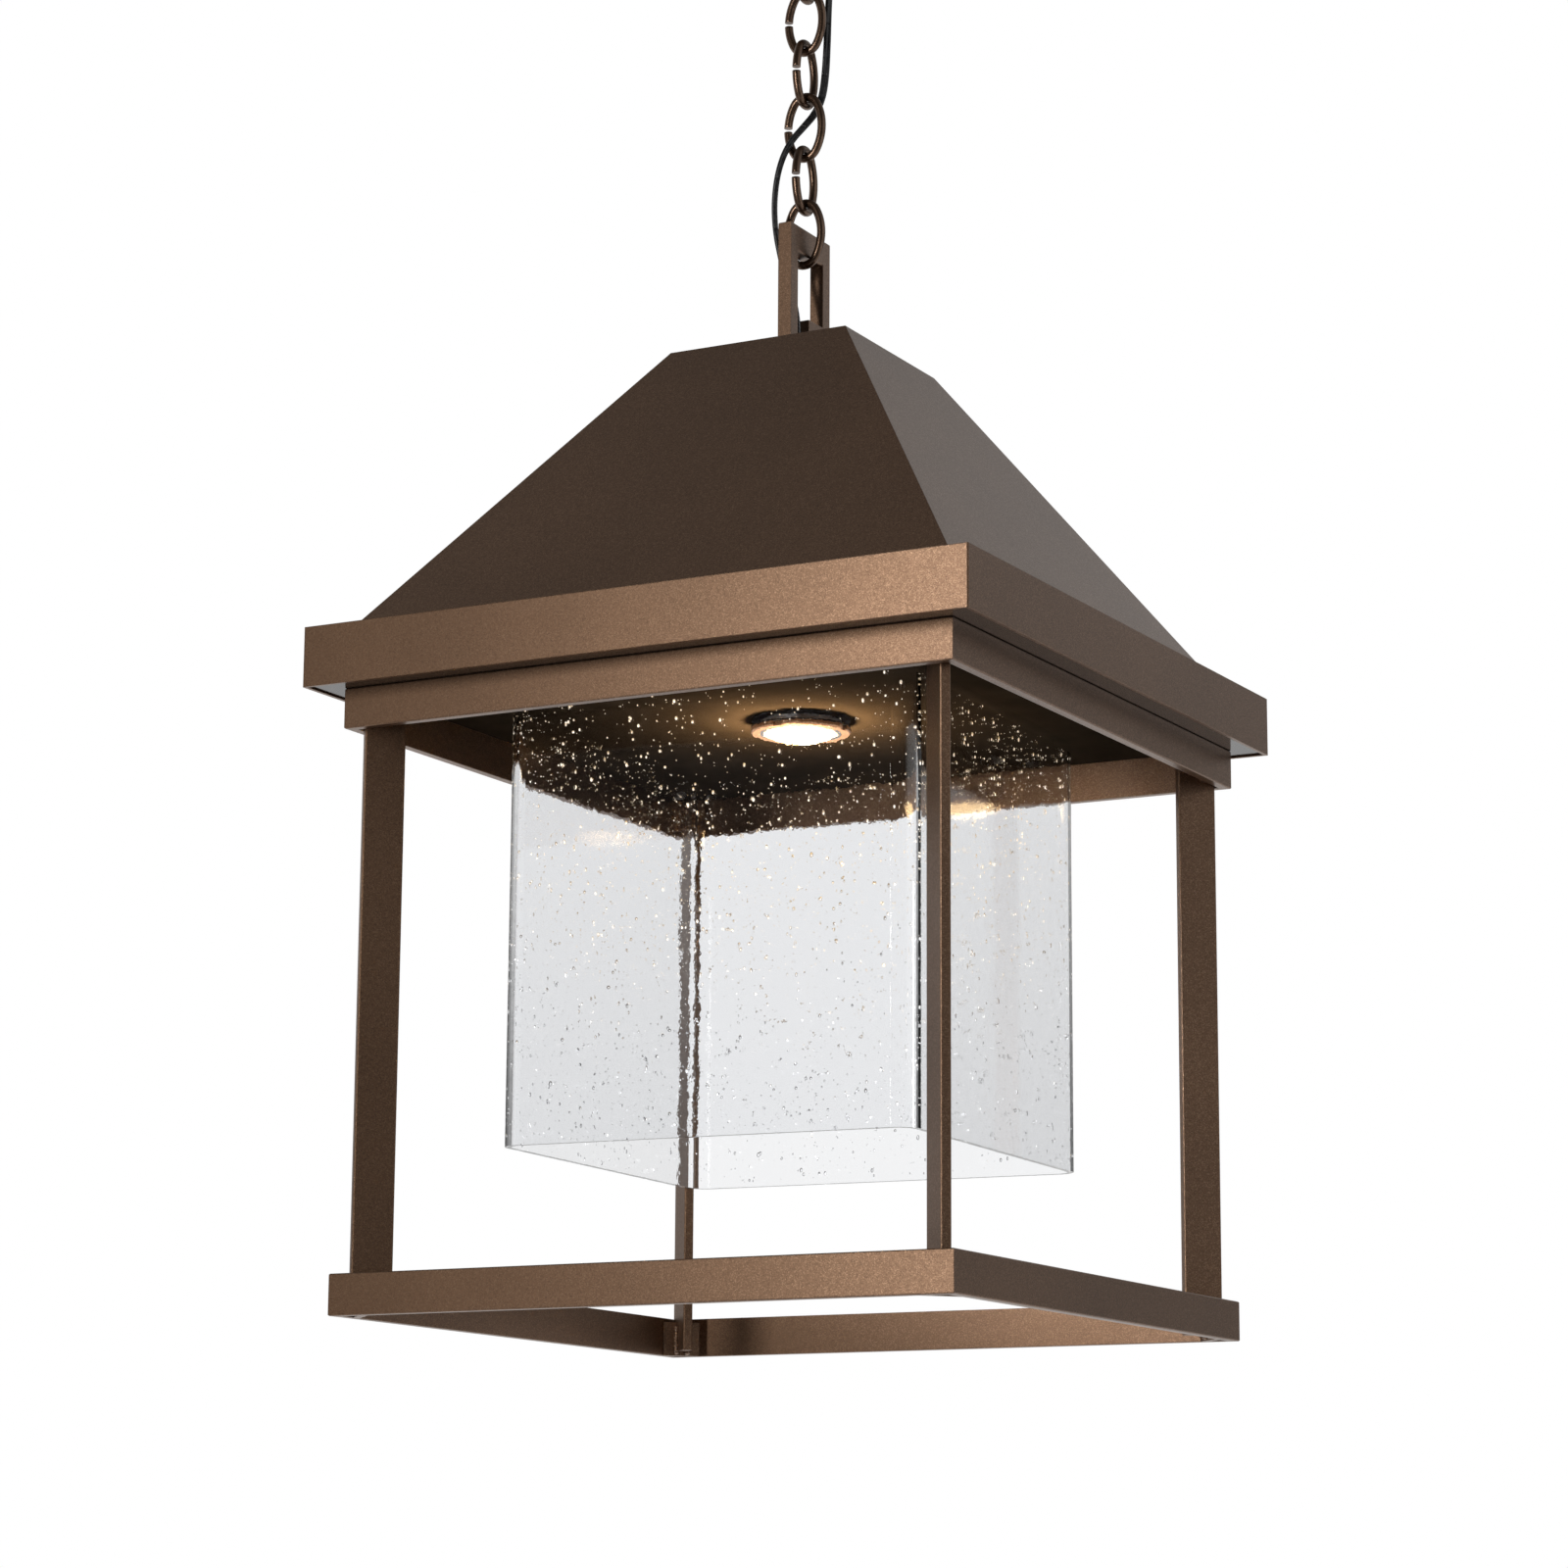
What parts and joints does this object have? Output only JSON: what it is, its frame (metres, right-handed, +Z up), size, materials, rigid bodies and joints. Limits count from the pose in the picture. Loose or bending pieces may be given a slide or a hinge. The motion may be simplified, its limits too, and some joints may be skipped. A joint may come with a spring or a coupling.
{
  "type": "outdoor hanging lantern",
  "caption": "Square bronze outdoor lantern with a hipped roof, open bar frame and seeded glass shade over a downlight, hung by chain and flex from a round ceiling canopy.",
  "frame": {"origin": "on the ceiling, midway between the two box-screw slots of the mounting strap", "axes": "+Z up towards the ceiling, X and Y along the lantern's sides, -Y the side that the picture lights most"},
  "size_m": [0.4572, 0.4572, 0.9763],
  "materials": {
    "bronze_paint": "bronze powder coat with fine metallic fleck, satin",
    "chain_bronze": "dark bronze, semi-gloss, rubbed on the high spots",
    "black_flex": "smooth black insulation",
    "black_rubber": "matt",
    "seeded_glass": "clear with seeds and small bubbles",
    "zinc_steel": "bright zinc plate",
    "cast_aluminium": "as cast, bead blasted",
    "board_white": "white solder mask",
    "frosted_lens": "frosted, lit",
    "driver_case": "fine grain"
  },
  "bodies": {
    "canopy": {"ceiling_canopy": "bronze_paint", "mounting_strap": "zinc_steel", "strap_nipple": "zinc_steel", "strap_nut": "zinc_steel", "canopy_loop": "bronze_paint", "canopy_collar_nut": "bronze_paint", "canopy_bushing": "black_rubber", "supply_cord": "black_flex"},
    "link_1": {"chain_link_1": "chain_bronze"},
    "link_2": {"chain_link_2": "chain_bronze"},
    "link_3": {"chain_link_3": "chain_bronze"},
    "link_4": {"chain_link_4": "chain_bronze"},
    "link_5": {"chain_link_5": "chain_bronze"},
    "link_6": {"chain_link_6": "chain_bronze"},
    "lantern": {"stirrup": "bronze_paint", "stirrup_backing": "zinc_steel", "stirrup_screws": "zinc_steel", "roof_bushing": "black_rubber", "roof_shell": "bronze_paint", "eave_tray": "bronze_paint", "eave_tabs": "bronze_paint", "soffit_plate": "bronze_paint", "soffit_screws": "bronze_paint", "collar": "bronze_paint", "collar_gussets": "bronze_paint", "collar_screws": "zinc_steel", "post_front_right": "bronze_paint", "post_rear_right": "bronze_paint", "post_rear_left": "bronze_paint", "post_front_left": "bronze_paint", "bottom_frame": "bronze_paint", "frame_gussets": "bronze_paint", "glass_shade": "seeded_glass", "upper_gasket": "black_rubber", "lower_gasket": "black_rubber", "heat_sink": "cast_aluminium", "shade_ring": "bronze_paint", "led_board": "board_white", "led_lens": "frosted_lens", "driver_bridge": "zinc_steel", "bridge_nuts": "zinc_steel", "led_driver": "driver_case", "driver_screws": "zinc_steel"}
  },
  "joints": [
    {"name": "link_1_swing", "type": "hinge", "parent": "canopy", "child": "link_1", "pos_m": [0, 0, -0.0624], "axis": [1, 0, 0], "range_deg": [-20, 20], "deforming": ["supply_cord"]},
    {"name": "link_2_swing", "type": "hinge", "parent": "link_1", "child": "link_2", "pos_m": [0, 0, -0.09893], "axis": [0, 1, 0], "range_deg": [-20, 20], "deforming": ["supply_cord"]},
    {"name": "link_3_swing", "type": "hinge", "parent": "link_2", "child": "link_3", "pos_m": [0, 0, -0.13587], "axis": [1, 0, 0], "range_deg": [-20, 20], "deforming": ["supply_cord"]},
    {"name": "link_4_swing", "type": "hinge", "parent": "link_3", "child": "link_4", "pos_m": [0, 0, -0.1728], "axis": [0, 1, 0], "range_deg": [-20, 20], "deforming": ["supply_cord"]},
    {"name": "link_5_swing", "type": "hinge", "parent": "link_4", "child": "link_5", "pos_m": [0, 0, -0.20972], "axis": [1, 0, 0], "range_deg": [-20, 20], "deforming": ["supply_cord"]},
    {"name": "link_6_swing", "type": "hinge", "parent": "link_5", "child": "link_6", "pos_m": [0, 0, -0.24666], "axis": [0, 1, 0], "range_deg": [-20, 20], "deforming": ["supply_cord"]},
    {"name": "lantern_swing", "type": "hinge", "parent": "link_6", "child": "lantern", "pos_m": [0, 0, -0.28358], "axis": [1, 0, 0], "range_deg": [-20, 20], "deforming": ["supply_cord"]}
  ]
}
